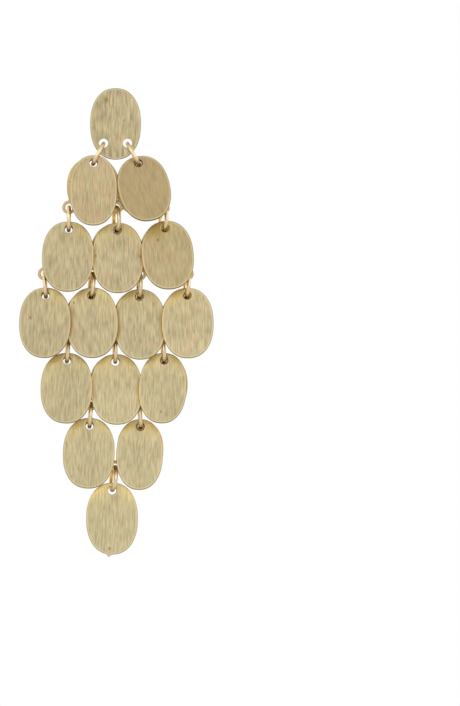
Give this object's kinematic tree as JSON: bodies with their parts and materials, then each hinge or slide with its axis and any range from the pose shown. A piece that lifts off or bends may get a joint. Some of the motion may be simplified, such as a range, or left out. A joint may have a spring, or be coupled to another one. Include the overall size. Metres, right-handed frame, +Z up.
{
  "type": "chandelier earring",
  "caption": "Post earring with an oval stud and a diamond-shaped drop of brushed oval discs, tier below tier, held by ear plates and jump rings.",
  "frame": {"origin": "where the ear post enters the ear lobe, on the back face of the stud", "axes": "+Z up, the front of the discs faces -Y, the post runs along +Y, +X to the right as seen from the front"},
  "size_m": [0.0424, 0.0177, 0.1025],
  "materials": {
    "stud": "satin, finely brushed",
    "disc": "satin, brushed along the disc",
    "plate": "satin",
    "ring": "polished round wire"
  },
  "bodies": {
    "stud": {"stud": "stud"},
    "drop": {"front_disc_2_1": "disc", "front_disc_2_2": "disc", "front_disc_3_1": "disc", "front_disc_3_2": "disc", "front_disc_3_3": "disc", "front_disc_4_1": "disc", "front_disc_4_2": "disc", "front_disc_4_3": "disc", "front_disc_4_4": "disc", "front_disc_5_1": "disc", "front_disc_5_2": "disc", "front_disc_5_3": "disc", "front_disc_6_1": "disc", "front_disc_6_2": "disc", "front_disc_7_1": "disc", "back_plate_2_1": "plate", "back_plate_2_2": "plate", "back_plate_3_1": "plate", "back_plate_3_2": "plate", "back_plate_3_3": "plate", "back_plate_4_1": "plate", "back_plate_4_2": "plate", "back_plate_4_3": "plate", "back_plate_4_4": "plate", "back_plate_5_1": "plate", "back_plate_5_2": "plate", "back_plate_5_3": "plate", "back_plate_6_1": "plate", "back_plate_6_2": "plate", "jump_ring_2_1": "ring", "jump_ring_2_2": "ring", "jump_ring_3_1": "ring", "jump_ring_3_2": "ring", "jump_ring_3_3": "ring", "jump_ring_4_1": "ring", "jump_ring_4_2": "ring", "jump_ring_4_3": "ring", "jump_ring_4_4": "ring", "jump_ring_5_1": "ring", "jump_ring_5_2": "ring", "jump_ring_5_3": "ring", "jump_ring_6_1": "ring", "jump_ring_6_2": "ring", "jump_ring_7_1": "ring"}
  },
  "joints": [
    {"name": "drop_swing", "type": "hinge", "parent": "stud", "child": "drop", "pos_m": [0, -0.00035, -0.00867], "axis": [1, 0, 0], "range_deg": [-45, 45]}
  ]
}
